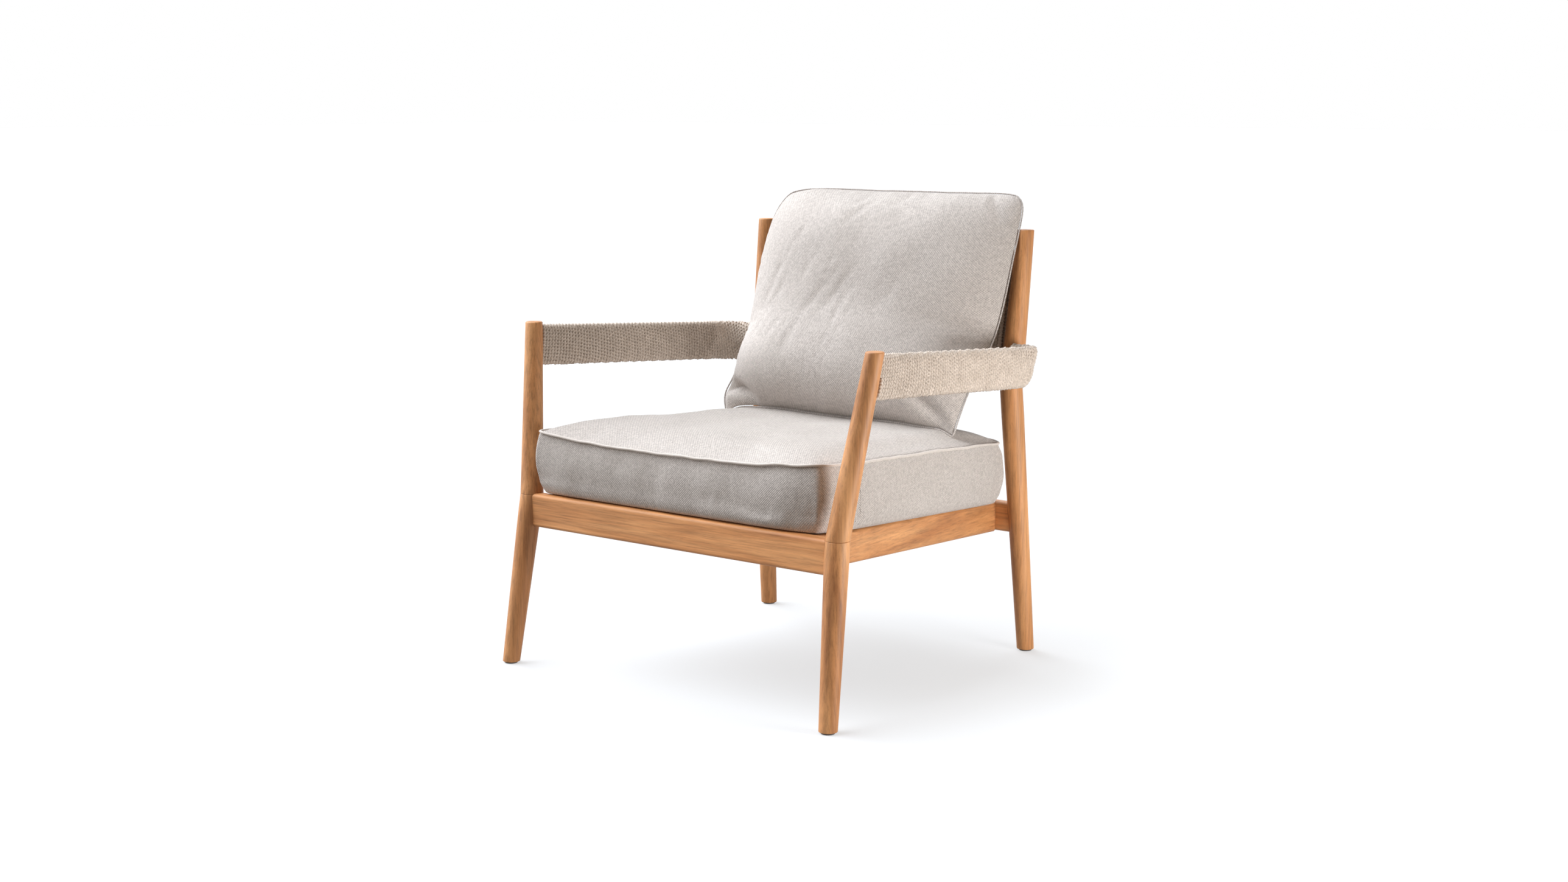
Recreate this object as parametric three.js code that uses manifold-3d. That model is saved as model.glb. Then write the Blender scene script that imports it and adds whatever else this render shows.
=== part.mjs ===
// Wooden lounge armchair with rope-wound arms, a rope back and two loose cushions.
// Millimetres. +Z is up, the chair faces -Y, and the origin is on the floor under its middle.

import * as THREE from 'three';
import { mergeVertices } from 'three/addons/utils/BufferGeometryUtils.js';
import Module from 'manifold-3d';

const wasm = await Module();
wasm.setup();

// ---- Driving dimensions ----

const GAP = 0.3;                    // clearance left between touching pieces

const FOOT_RADIUS = 15.2;           // turned legs: thin foot, full knee, thin tip
const KNEE_RADIUS = 20;
const TIP_RADIUS = 15;
const LEG_SIDES = 24;
const GLIDE_HEIGHT = 2.5;
const GLIDE_RADIUS = 11;
const GLIDE_PIN_RADIUS = 2;
const GLIDE_PIN_LENGTH = 16;
const DOWEL_RADIUS = 5;
const DOWEL_REACH = 30;             // how far a knee dowel goes into each side

// The right-hand legs, from the floor to the knee and from the knee to the tip.
const FRONT_LEG = {
  foot: new THREE.Vector3(352, -322, 0),
  knee: new THREE.Vector3(336.6, -279.4, 297),
  tip: new THREE.Vector3(372.2, -232.6, 591),
};
const REAR_LEG = {
  foot: new THREE.Vector3(297.5, 322, 0),
  knee: new THREE.Vector3(282.9, 284.4, 483),
  tip: new THREE.Vector3(291.9, 309.6, 751),
};

const RAIL_THICKNESS = 26;
const RAIL_EDGE_RADIUS = 6;
const RAIL_TENON = { thickness: 10, reach: 12, root: 10, below: 10, above: 14 };   // front and rear rails
const FRONT_RAIL = { face: -293.6, bottom: 241, top: 299 };
const REAR_RAIL = { face: 290, bottom: 216.5, top: 268.5 };
const SIDE_RAIL = { thickness: 24, height: 54, frontX: 302, rearX: 250.6, frontTop: 298.2, rearTop: 268.2 };
const SIDE_TENON = { thickness: 10, height: 30, reach: 14 };
const TENON_ROOT = 2;               // overlap that joins a tenon to its rail
const CORNER_BLOCK = { leg: 46, height: 30 };

const CLEAT = { width: 18, height: 20, edge: 1.5, endGap: 6 };
const SLAT_COUNT = 6;
const SLAT = { width: 62, thickness: 12, edge: 3, drop: 8, endGap: 12, sideGap: 1.5 };
const SCREW = { shank: 2, head: 4, headLength: 3, length: 32, inset: 60, sides: 8 };
const CLEAT_SCREWS = 3;

const BACK_RAIL = { height: 30, thickness: 16, edge: 5, setback: 8 };
const BACK_TENON = { thickness: 8, height: 18, reach: 9, root: 8 };
const BACK_RAIL_HEIGHTS = { back_lower_rail: 528, back_top_rail: 692 };
const ROPE = 6;                     // thickness of one layer of rope
const BACK_ROPE_SIDE_GAP = 4;

const ARM = {
  frontTop: 587,                    // top of the winding where it meets the front post
  slope: -0.0632,                   // fall of the arm for each mm towards the back
  height: 72,
  startX: 368,
  bendX: 346,
  bendY: 227,
  bendRadius: 38,
  segments: 30,
};
const WINDING = { thickness: 22, height: ARM.height, edge: 6, startY: -240, endX: 282, layers: [2, 4] };
const ARM_CORE = { thickness: 6, height: 50, edge: 0, startY: -230, endX: 287, layers: [1, 2] };
const ARM_FLARE = { start: 165, full: 262, outward: 0.3 };
const ARM_SCREWS = { x: 296, offsets: [12, -12], intoBar: 2, headLength: 4, sink: 3 };
const DRIVER_HOLE = 30;             // a screw hole opens outwards by this many times its clearance
const WINDING_GAP = 0.6;

const SEAT = {
  frontY: -296,
  rearY: 285,
  frontHalf: 318,
  rearHalf: 276,
  edge: 110,                        // height from the base to the piping
  crown: 20,
  frontCornerPull: 0.015,
  rearCornerPull: 0.05,
};
const SEAT_LIFT = 1.2;              // air between the frame and the cushion
const COVER = 3;                    // thickness of a cushion cover
const SEAT_ZIP = { halfLength: 190, height: 3 };
const BACK_ZIP = { halfLength: 171, height: 3, place: 0.06, depth: 20 };
const PIPING = { width: 4, height: 5 };
const BACK_CUSHION = {
  halfWidth: 272,
  frontRim: 9,
  frontBulge: 74,
  rearRim: 4,
  rearBulge: 3,
  cornerPull: 0.03,
};
const BACK_SEAM = [                 // middle line of the back cushion, seen from the side
  new THREE.Vector3(0, 152, 411),
  new THREE.Vector3(0, 184, 480),
  new THREE.Vector3(0, 240, 566),
  new THREE.Vector3(0, 285, 705),
  new THREE.Vector3(0, 319, 803),
];

// ---- Materials ----

const material = (color, roughness, metalness = 0) =>
  new THREE.MeshStandardMaterial({ color, roughness, metalness });
const WOOD = 0xc98f57;
const ROPE_COLOUR = 0xb9aa98;
const FABRIC = 0xc9c2bb;
const FOAM = 0xe8e2cf;
const METAL = 0x8f9296;
const NYLON = 0x3a3632;

const armchair = new THREE.Group();

function addPart(name, geometry, colour, roughness = 0.6, metalness = 0) {
  const mesh = new THREE.Mesh(geometry, material(colour, roughness, metalness));
  mesh.name = name;
  armchair.add(mesh);
  return mesh;
}

// ---- Solids: joining and cutting ----

function toSolid(geometry) {
  const bare = geometry.clone();
  bare.deleteAttribute('normal');
  bare.deleteAttribute('uv');
  const merged = mergeVertices(bare, 1e-3);
  return new wasm.Manifold(new wasm.Mesh({
    numProp: 3,
    vertProperties: new Float32Array(merged.attributes.position.array),
    triVerts: new Uint32Array(merged.index.array),
  }));
}

function toGeometry(solid) {
  const mesh = solid.getMesh();
  const geometry = new THREE.BufferGeometry();
  geometry.setAttribute('position', new THREE.BufferAttribute(new Float32Array(mesh.vertProperties), 3));
  geometry.setIndex(new THREE.BufferAttribute(new Uint32Array(mesh.triVerts), 1));
  geometry.computeVertexNormals();
  return geometry;
}

const cut = (geometry, ...tools) =>
  toGeometry(tools.reduce((solid, tool) => solid.subtract(toSolid(tool)), toSolid(geometry)));
const join = (geometry, ...others) =>
  toGeometry(others.reduce((solid, other) => solid.add(toSolid(other)), toSolid(geometry)));

// ---- Basic shapes ----

// Sliding each level of a shape sideways makes it lean but keeps its ends level.
const shearByZ = (dx, dy) => new THREE.Matrix4().makeShear(0, 0, 0, 0, dx, dy);
const shearByY = (dx, dz) => new THREE.Matrix4().makeShear(0, 0, dx, dz, 0, 0);

// A turned piece between two points: radiusAt gives the radius from 0 at the bottom to 1 at the top.
function turned(bottom, top, radiusAt, steps = 5, sides = LEG_SIDES) {
  const height = top.z - bottom.z;
  const profile = [new THREE.Vector2(0, 0)];
  for (let step = 0; step <= steps; step += 1) {
    profile.push(new THREE.Vector2(radiusAt(step / steps), height * step / steps));
  }
  profile.push(new THREE.Vector2(0, height));
  const geometry = new THREE.LatheGeometry(profile, sides);
  geometry.rotateX(Math.PI / 2);
  geometry.applyMatrix4(shearByZ((top.x - bottom.x) / height, (top.y - bottom.y) / height));
  return geometry.translate(bottom.x, bottom.y, bottom.z);
}

// A round rod between two points that lie in any direction.
function rod(start, end, radius, sides = 16) {
  const direction = end.clone().sub(start);
  const geometry = new THREE.CylinderGeometry(radius, radius, direction.length(), sides);
  const turn = new THREE.Quaternion().setFromUnitVectors(new THREE.Vector3(0, 1, 0), direction.normalize());
  const middle = start.clone().add(end).multiplyScalar(0.5);
  return geometry.applyQuaternion(turn).translate(middle.x, middle.y, middle.z);
}

function box(low, high) {
  const size = high.clone().sub(low);
  const middle = low.clone().add(high).multiplyScalar(0.5);
  return new THREE.BoxGeometry(size.x, size.y, size.z).translate(middle.x, middle.y, middle.z);
}

function roundedRectangle(width, height, radius) {
  const w = width / 2 - radius;
  const h = height / 2 - radius;
  const shape = new THREE.Shape();
  shape.absarc(w, h, radius, 0, Math.PI / 2);
  shape.absarc(-w, h, radius, Math.PI / 2, Math.PI);
  shape.absarc(-w, -h, radius, Math.PI, Math.PI * 1.5);
  shape.absarc(w, -h, radius, Math.PI * 1.5, Math.PI * 2);
  return shape;
}

const BAR_SETTINGS = { bevelEnabled: false, curveSegments: 3 };

// A bar with rounded long edges that runs along X: thickness along Y, height along Z.
function barAlongX(startX, endX, thickness, height, radius, y, z) {
  const outline = roundedRectangle(height, thickness, radius);
  const geometry = new THREE.ExtrudeGeometry(outline, { ...BAR_SETTINGS, depth: endX - startX });
  geometry.rotateY(Math.PI / 2);
  return geometry.translate(startX, y, z);
}

// The same bar along Y: thickness along X, height along Z.
function barAlongY(startY, endY, thickness, height, radius, x, z) {
  const outline = roundedRectangle(thickness, height, radius);
  const geometry = new THREE.ExtrudeGeometry(outline, { ...BAR_SETTINGS, depth: endY - startY });
  geometry.rotateX(Math.PI / 2);
  return geometry.translate(x, endY, z);
}

// A bent or crowned block: place turns (u, v, w), each from -1 to 1, into a point.
function softBlock(segments, place) {
  const geometry = new THREE.BoxGeometry(2, 2, 2, ...segments);
  const position = geometry.attributes.position;
  for (let i = 0; i < position.count; i += 1) {
    const point = place(position.getX(i), position.getY(i), position.getZ(i));
    position.setXYZ(i, point.x, point.y, point.z);
  }
  return geometry;
}

// Mirror image in the chair's middle plane. Reversing the vertex order keeps the faces outward.
function mirrored(geometry) {
  const copy = geometry.clone().scale(-1, 1, 1);
  const count = copy.attributes.position.count;
  const order = copy.index ? Array.from(copy.index.array) : Array.from({ length: count }, (_, i) => i);
  copy.setIndex(order.reverse());
  copy.computeVertexNormals();
  return copy;
}

// Makes a right-hand piece and its mirror image.
function addPair(name, geometry, colour, roughness, metalness) {
  addPart(`${name}_right`, geometry, colour, roughness, metalness);
  addPart(`${name}_left`, mirrored(geometry), colour, roughness, metalness);
}

// ---- Legs and posts ----

const { lerp, smoothstep } = THREE.MathUtils;

const legRadius = (t) => lerp(FOOT_RADIUS, KNEE_RADIUS, Math.min(1, t * 1.15));
const frontPostRadius = (t) => lerp(KNEE_RADIUS, TIP_RADIUS, t);
const rearPostRadius = (t) => lerp(KNEE_RADIUS, TIP_RADIUS, t ** 1.3);

// Numbers spread evenly from first to last.
const evenly = (count, first, last) =>
  Array.from({ length: count }, (_, i) => lerp(first, last, i / (count - 1)));

const alongLine = (from, to, z) => from.clone().lerp(to, (z - from.z) / (to.z - from.z));

// Lower leg and upper post, with the joint's gap between them.
function legSolids(leg, postRadius) {
  const foot = alongLine(leg.foot, leg.knee, GLIDE_HEIGHT + GAP);
  const kneeBelow = alongLine(leg.foot, leg.knee, leg.knee.z - GAP / 2);
  const kneeAbove = alongLine(leg.knee, leg.tip, leg.knee.z + GAP / 2);
  return {
    lower: turned(foot, kneeBelow, legRadius),
    post: turned(kneeAbove, leg.tip, postRadius),
  };
}

// The whole leg made wider by extra, to cope what meets it.
function legTool(leg, postRadius, extra) {
  const lower = turned(leg.foot, leg.knee, (t) => legRadius(t) + extra);
  const post = turned(leg.knee, leg.tip, (t) => postRadius(t) + extra);
  return join(lower, post);
}

function kneeDowel(leg, extra = 0) {
  const low = leg.knee.clone().setZ(leg.knee.z - DOWEL_REACH - extra);
  const high = leg.knee.clone().setZ(leg.knee.z + DOWEL_REACH + extra);
  return rod(low, high, DOWEL_RADIUS + extra, 12);
}

// A glide is a nylon disc with a pin that is pressed into the foot.
function footGlide(leg, extra = 0) {
  const profile = [
    new THREE.Vector2(0, 0),
    new THREE.Vector2(GLIDE_RADIUS, 0),
    new THREE.Vector2(GLIDE_RADIUS, GLIDE_HEIGHT + extra),
    new THREE.Vector2(GLIDE_PIN_RADIUS + extra, GLIDE_HEIGHT + extra),
    new THREE.Vector2(GLIDE_PIN_RADIUS + extra, GLIDE_PIN_LENGTH + extra),
    new THREE.Vector2(0, GLIDE_PIN_LENGTH + extra),
  ];
  const geometry = new THREE.LatheGeometry(profile, 16);
  geometry.rotateX(Math.PI / 2);
  return geometry.translate(leg.foot.x, leg.foot.y, 0);
}

// ---- Seat frame ----

const railHeight = (rail) => rail.top - rail.bottom;
const railMiddleZ = (rail) => (rail.top + rail.bottom) / 2;
const railCentreY = (rail) => rail.face + RAIL_THICKNESS / 2;
const legAt = (leg, z) => alongLine(leg.foot, leg.knee, z);

// Rail from leg to leg. Its ends are coped to the round legs and carry tenons.
function crossRail(rail, leg, cope) {
  const z = railMiddleZ(rail);
  const centre = legAt(leg, z);
  const tenon = railTenon(rail, leg);
  const board = barAlongX(
    -centre.x, centre.x, RAIL_THICKNESS, railHeight(rail), RAIL_EDGE_RADIUS, railCentreY(rail), z,
  );
  return join(cut(board, cope, mirrored(cope)), tenon, mirrored(tenon));
}

function railTenon(rail, leg, extra = 0) {
  const centre = legAt(leg, railMiddleZ(rail));
  const inner = centre.x - KNEE_RADIUS;
  const half = RAIL_TENON.thickness / 2 + extra;
  return box(
    new THREE.Vector3(inner - RAIL_TENON.root, centre.y - half, rail.bottom + RAIL_TENON.below - extra),
    new THREE.Vector3(inner + RAIL_TENON.reach + extra, centre.y + half, rail.top - RAIL_TENON.above + extra),
  );
}

// The side rails run from the back of the front rail to the front of the rear rail.
const sideStart = FRONT_RAIL.face + RAIL_THICKNESS + GAP;
const sideEnd = REAR_RAIL.face - GAP;
const sideLength = sideEnd - sideStart;
const sideDx = (SIDE_RAIL.rearX - SIDE_RAIL.frontX) / sideLength;
const sideDz = (SIDE_RAIL.rearTop - SIDE_RAIL.frontTop) / sideLength;
const sideX = (y) => SIDE_RAIL.frontX + sideDx * (y - sideStart);
const sideTop = (y) => SIDE_RAIL.frontTop + sideDz * (y - sideStart);

// Moves a piece that was made beside the front end of the side rail along the rail's slant.
const slanted = (geometry) => geometry
  .translate(0, -sideStart, 0)
  .applyMatrix4(shearByY(sideDx, sideDz))
  .translate(0, sideStart, 0);

function sideRail() {
  const x = SIDE_RAIL.frontX - SIDE_RAIL.thickness / 2;
  const z = SIDE_RAIL.frontTop - SIDE_RAIL.height / 2;
  const board = barAlongY(sideStart, sideEnd, SIDE_RAIL.thickness, SIDE_RAIL.height, RAIL_EDGE_RADIUS, x, z);
  return join(slanted(board), ...sideTenons());
}

function sideTenons(extra = 0) {
  const x = SIDE_RAIL.frontX - SIDE_RAIL.thickness / 2;
  const z = SIDE_RAIL.frontTop - SIDE_RAIL.height / 2;
  const half = SIDE_TENON.thickness / 2 + extra;
  const tall = SIDE_TENON.height / 2 + extra;
  const tenon = (fromY, toY) => slanted(box(
    new THREE.Vector3(x - half, fromY, z - tall),
    new THREE.Vector3(x + half, toY, z + tall),
  ));
  return [
    tenon(sideStart - SIDE_TENON.reach - extra, sideStart + TENON_ROOT),
    tenon(sideEnd - TENON_ROOT, sideEnd + SIDE_TENON.reach + extra),
  ];
}

// Inner faces of the side rails, which carry the cleats.
const sideInnerX = (y) => sideX(y) - SIDE_RAIL.thickness;

// Undersides of the slats along the side rails.
const slatBottom = (y) => sideTop(y) - SLAT.drop - SLAT.thickness;

// Triangular block glued into a corner of the seat frame, just under the slats.
function cornerBlock(y, direction) {
  const farY = y + direction * CORNER_BLOCK.leg;
  const x = Math.min(sideInnerX(y), sideInnerX(farY)) - GAP;
  const top = Math.min(slatBottom(y), slatBottom(farY)) - 2 * GAP;
  const outline = new THREE.Shape();
  outline.moveTo(x, y);
  outline.lineTo(x - CORNER_BLOCK.leg, y);
  outline.lineTo(x, farY);
  outline.closePath();
  const settings = { depth: CORNER_BLOCK.height, bevelEnabled: false };
  return new THREE.ExtrudeGeometry(outline, settings).translate(0, 0, top - CORNER_BLOCK.height);
}

// The cleats run between the corner blocks and carry the slats.
const cleatTop = (y) => slatBottom(y) - GAP;
const cleatStart = sideStart + CORNER_BLOCK.leg + CLEAT.endGap;
const cleatEnd = sideEnd - CORNER_BLOCK.leg - CLEAT.endGap;

function cleat() {
  const x = SIDE_RAIL.frontX - SIDE_RAIL.thickness - GAP - CLEAT.width / 2;
  const z = cleatTop(sideStart) - CLEAT.height / 2;
  return slanted(barAlongY(cleatStart, cleatEnd, CLEAT.width, CLEAT.height, CLEAT.edge, x, z));
}

// A headed screw. headOpening lengthens the head's end, which leaves a way in for the screwdriver.
function screw(point, shoulder, headEnd, extra, headOpening) {
  const inward = point.clone().sub(headEnd).normalize();
  const tip = point.clone().addScaledVector(inward, extra);
  const step = shoulder.clone().addScaledVector(inward, extra);
  const opening = headEnd.clone().addScaledVector(inward, -headOpening);
  return join(rod(opening, step, SCREW.head + extra, SCREW.sides),
    rod(shoulder, tip, SCREW.shank + extra, SCREW.sides));
}

// Countersunk screw that goes outwards through the cleat into the side rail.
function cleatScrew(y, extra = 0) {
  const z = cleatTop(y) - CLEAT.height / 2;
  const headX = sideInnerX(y) - GAP - CLEAT.width;
  const along = (distance) => new THREE.Vector3(headX + distance, y, z);
  return screw(along(SCREW.length), along(SCREW.headLength), along(0), extra, extra * DRIVER_HOLE);
}

function slat(y) {
  const half = sideInnerX(y + SLAT.width / 2) - SLAT.sideGap;
  const board = barAlongX(-half, half, SLAT.width, SLAT.thickness, SLAT.edge, 0, 0);
  board.rotateX(Math.atan(sideDz));
  return board.translate(0, y, sideTop(y) - SLAT.drop - SLAT.thickness / 2);
}

// ---- Rope back ----

const postAt = (leg, z) => alongLine(leg.knee, leg.tip, z);
const backLean = (REAR_LEG.tip.y - REAR_LEG.knee.y) / (REAR_LEG.tip.z - REAR_LEG.knee.z);

const rearPostRadiusAt = (z) => rearPostRadius((z - REAR_LEG.knee.z) / (REAR_LEG.tip.z - REAR_LEG.knee.z));

function backRail(z, cope) {
  const centre = postAt(REAR_LEG, z);
  const tenon = backTenon(z);
  const board = barAlongX(-centre.x, centre.x, BACK_RAIL.thickness, BACK_RAIL.height, BACK_RAIL.edge, 0, 0);
  board.applyMatrix4(shearByZ(0, backLean)).translate(0, centre.y + BACK_RAIL.setback, z);
  return join(cut(board, cope, mirrored(cope)), tenon, mirrored(tenon));
}

function backTenon(z, extra = 0) {
  const centre = postAt(REAR_LEG, z);
  const inner = centre.x - rearPostRadiusAt(z);
  const y = centre.y + BACK_RAIL.setback;
  const thick = BACK_TENON.thickness / 2 + extra;
  const tall = BACK_TENON.height / 2 + extra;
  return box(
    new THREE.Vector3(inner - BACK_TENON.root, y - thick, z - tall),
    new THREE.Vector3(inner + BACK_TENON.reach + extra, y + thick, z + tall),
  );
}

// One layer of the rope that is wound round the two back rails.
function ropeLayer(side) {
  const lowZ = BACK_RAIL_HEIGHTS.back_lower_rail - BACK_RAIL.height / 2 - ROPE;
  const highZ = BACK_RAIL_HEIGHTS.back_top_rail + BACK_RAIL.height / 2 + ROPE;
  const halfAt = (z) => postAt(REAR_LEG, z).x - rearPostRadiusAt(z) - BACK_ROPE_SIDE_GAP;
  const lowHalf = halfAt(lowZ);
  const highHalf = halfAt(highZ);
  const outline = new THREE.Shape();
  outline.moveTo(-lowHalf, lowZ);
  outline.lineTo(lowHalf, lowZ);
  outline.lineTo(highHalf, highZ);
  outline.lineTo(-highHalf, highZ);
  outline.closePath();
  const layer = new THREE.ExtrudeGeometry(outline, { depth: ROPE, bevelEnabled: false });
  layer.rotateX(Math.PI / 2);
  layer.translate(0, ROPE / 2, -lowZ);
  layer.applyMatrix4(shearByZ(0, backLean));
  const offset = side * (BACK_RAIL.thickness / 2 + GAP * 2 + ROPE / 2);
  return layer.translate(0, postAt(REAR_LEG, lowZ).y + BACK_RAIL.setback + offset, lowZ);
}

// ---- Arms ----

const armTop = (y) => ARM.frontTop + ARM.slope * (y - FRONT_LEG.tip.y);
const armMiddle = (y) => armTop(y) - ARM.height / 2;
const armBend = { x: ARM.bendX - ARM.bendRadius, y: ARM.bendY };

// Middle line of an arm in plan: straight back, then hooked in front of the rear post.
function armPath(startY, endX) {
  const path = new THREE.Path();
  path.moveTo(ARM.startX, startY);
  path.lineTo(ARM.bendX, ARM.bendY);
  path.absarc(armBend.x, armBend.y, ARM.bendRadius, 0, Math.PI / 2);
  path.lineTo(endX, armBend.y + ARM.bendRadius);
  return path;
}

// A bar along the arm. It falls to the back, and its top opens outwards round the bend.
function armBar({ thickness, height, edge, startY, endX, layers }, extra = 0) {
  const path = armPath(startY - extra, endX - extra);
  return softBlock([layers[0], ARM.segments, layers[1]], (u, v, w) => {
    const t = (v + 1) / 2;
    const point = path.getPointAt(t);
    const along = path.getTangentAt(t);
    const side = u * (thickness / 2 + extra - edge * w ** 4);
    const z = Math.sin(w * Math.PI / 2) * (height / 2 + extra);
    const flare = smoothstep(point.y, ARM_FLARE.start, ARM_FLARE.full) * z;
    return new THREE.Vector3(
      point.x + along.y * side + ARM_FLARE.outward * flare,
      point.y - along.x * side + backLean * flare,
      z + armMiddle(point.y),
    );
  });
}

// Countersunk screws from the back of the rear post into the end of the arm's metal bar.
function armScrew(offset, extra = 0) {
  const barY = armBend.y + ARM.bendRadius;
  const z = armMiddle(barY) + offset;
  const centre = postAt(REAR_LEG, z);
  const back = centre.y + Math.sqrt(rearPostRadiusAt(z) ** 2 - (ARM_SCREWS.x - centre.x) ** 2);
  const at = (y) => new THREE.Vector3(ARM_SCREWS.x, y, z);
  const headEnd = back - ARM_SCREWS.sink;
  return screw(
    at(barY - ARM_SCREWS.intoBar), at(headEnd - ARM_SCREWS.headLength), at(headEnd),
    extra, extra * DRIVER_HOLE,
  );
}

// ---- Cushions ----

const seatBase = (y) => sideTop(y) + SEAT_LIFT;

// The seat cushion: wider in front, crowned on top. inset shrinks it on every side.
function seatBlock(inset, low = inset, high = SEAT.edge - inset, crown = SEAT.crown) {
  const middleY = (SEAT.frontY + SEAT.rearY) / 2;
  const halfY = (SEAT.rearY - SEAT.frontY) / 2 - inset;
  return softBlock([10, 10, 2], (u, v, w) => {
    const halfX = lerp(SEAT.frontHalf, SEAT.rearHalf, (v + 1) / 2) - inset;
    const pull = v < 0 ? SEAT.frontCornerPull : SEAT.rearCornerPull;
    const x = u * halfX * (1 - pull * v ** 10);
    const y = middleY + v * halfY * (1 - pull * u ** 10);
    const rise = crown * (1 - u ** 6) * (1 - v ** 6);
    const top = high + rise;
    return new THREE.Vector3(x, y, seatBase(y) + lerp(low, top, (w + 1) / 2));
  });
}

function seatCover() {
  const zipY = SEAT.rearY - COVER / 2;
  const zipZ = seatBase(zipY) + SEAT.edge / 2;
  const zip = box(
    new THREE.Vector3(-SEAT_ZIP.halfLength, zipY - 2 * COVER, zipZ - SEAT_ZIP.height / 2),
    new THREE.Vector3(SEAT_ZIP.halfLength, zipY + 2 * COVER, zipZ + SEAT_ZIP.height / 2),
  );
  return cut(seatBlock(0), seatBlock(COVER), zip);
}

// Piping: a raised cord round the top edge of the seat cushion.
function seatPiping() {
  const outer = seatBlock(-PIPING.width - GAP, SEAT.edge - PIPING.height, SEAT.edge, 0);
  const inner = seatBlock(-GAP, 0, SEAT.edge * 2, 0);
  return cut(outer, inner);
}

const backSeam = new THREE.CatmullRomCurve3(BACK_SEAM);

// The back cushion follows its seam line up the rope back, and bulges to the front.
function backBlock(inset) {
  const reach = 1 - inset / (backSeam.getLength() / 2);
  return softBlock([10, 12, 2], (u, v, w) => {
    const along = (1 + v * reach) / 2;
    const seam = backSeam.getPointAt(along);
    const up = backSeam.getTangentAt(along);
    const forward = new THREE.Vector3(0, -up.z, up.y);
    const fullness = (1 - Math.abs(u) ** 3) * (1 - Math.abs(v) ** 3);
    const front = BACK_CUSHION.frontRim + BACK_CUSHION.frontBulge * fullness - inset;
    const rear = BACK_CUSHION.rearRim + BACK_CUSHION.rearBulge * fullness - inset;
    seam.x = u * (BACK_CUSHION.halfWidth - inset) * (1 - BACK_CUSHION.cornerPull * v ** 8);
    return seam.addScaledVector(forward, w > 0 ? w * front : w * rear);
  });
}

function backCover() {
  const low = backSeam.getPointAt(BACK_ZIP.place);
  const zip = box(
    new THREE.Vector3(-BACK_ZIP.halfLength, low.y, low.z - BACK_ZIP.height / 2),
    new THREE.Vector3(BACK_ZIP.halfLength, low.y + BACK_ZIP.depth, low.z + BACK_ZIP.height / 2),
  );
  return cut(backBlock(0), backBlock(COVER), zip);
}

// ---- Assembly ----

function addLegs() {
  const kinds = { front: [FRONT_LEG, frontPostRadius], rear: [REAR_LEG, rearPostRadius] };
  for (const [end, [leg, postRadius]] of Object.entries(kinds)) {
    const rail = end === 'front' ? FRONT_RAIL : REAR_RAIL;
    const { lower, post } = legSolids(leg, postRadius);
    const dowelHole = kneeDowel(leg, GAP);
    const legPiece = cut(lower, dowelHole, footGlide(leg, GAP), railTenon(rail, leg, GAP));
    addPair(`${end}_leg`, legPiece, WOOD, 0.5);
    addPair(`${end}_post`, cut(post, dowelHole, ...postSockets(end)), WOOD, 0.5);
    addPair(`${end}_knee_dowel`, kneeDowel(leg), WOOD, 0.6);
    addPair(`${end}_foot_glide`, footGlide(leg), NYLON, 0.7);
  }
}

// Cuts in the right-hand posts for the arm's bar, the arm screws and the back rails.
function postSockets(end) {
  if (end === 'front') {
    return [armBar(ARM_CORE, GAP)];
  }
  const screws = ARM_SCREWS.offsets.map((offset) => armScrew(offset, GAP));
  const tenons = Object.values(BACK_RAIL_HEIGHTS).map((z) => backTenon(z, GAP));
  return [...screws, ...tenons];
}

function addSeatFrame() {
  const frontTool = legTool(FRONT_LEG, frontPostRadius, GAP);
  const rearTool = legTool(REAR_LEG, rearPostRadius, GAP);
  const [frontTenon, rearTenon] = sideTenons(GAP);
  const screwPlaces = evenly(CLEAT_SCREWS, cleatStart + SCREW.inset, cleatEnd - SCREW.inset);
  const screwHoles = screwPlaces.map((y) => cleatScrew(y, GAP));

  const frontRail = crossRail(FRONT_RAIL, FRONT_LEG, frontTool);
  addPart('front_rail', cut(frontRail, frontTenon, mirrored(frontTenon)), WOOD, 0.5);
  const rearRail = crossRail(REAR_RAIL, REAR_LEG, rearTool);
  addPart('rear_rail', cut(rearRail, rearTenon, mirrored(rearTenon)), WOOD, 0.5);
  addPair('side_rail', cut(sideRail(), ...screwHoles), WOOD, 0.5);
  addPair('cleat', cut(cleat(), ...screwHoles), WOOD, 0.6);
  screwPlaces.forEach((y, i) => addPair(`cleat_screw_${i + 1}`, cleatScrew(y), METAL, 0.4, 0.9));

  addPair('corner_block_front', cornerBlock(sideStart, 1), WOOD, 0.6);
  addPair('corner_block_rear', cornerBlock(sideEnd, -1), WOOD, 0.6);
}

function addSlats() {
  const inset = SLAT.width / 2 + SLAT.endGap;
  evenly(SLAT_COUNT, sideStart + inset, sideEnd - inset).forEach((y, i) => {
    addPart(`seat_slat_${i + 1}`, slat(y), WOOD, 0.6);
  });
}

function addBack() {
  const cope = legTool(REAR_LEG, rearPostRadius, GAP);
  for (const [name, z] of Object.entries(BACK_RAIL_HEIGHTS)) {
    addPart(name, backRail(z, cope), WOOD, 0.5);
  }
  addPart('back_rope_front', ropeLayer(-1), ROPE_COLOUR, 0.9);
  addPart('back_rope_rear', ropeLayer(1), ROPE_COLOUR, 0.9);
}

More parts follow.
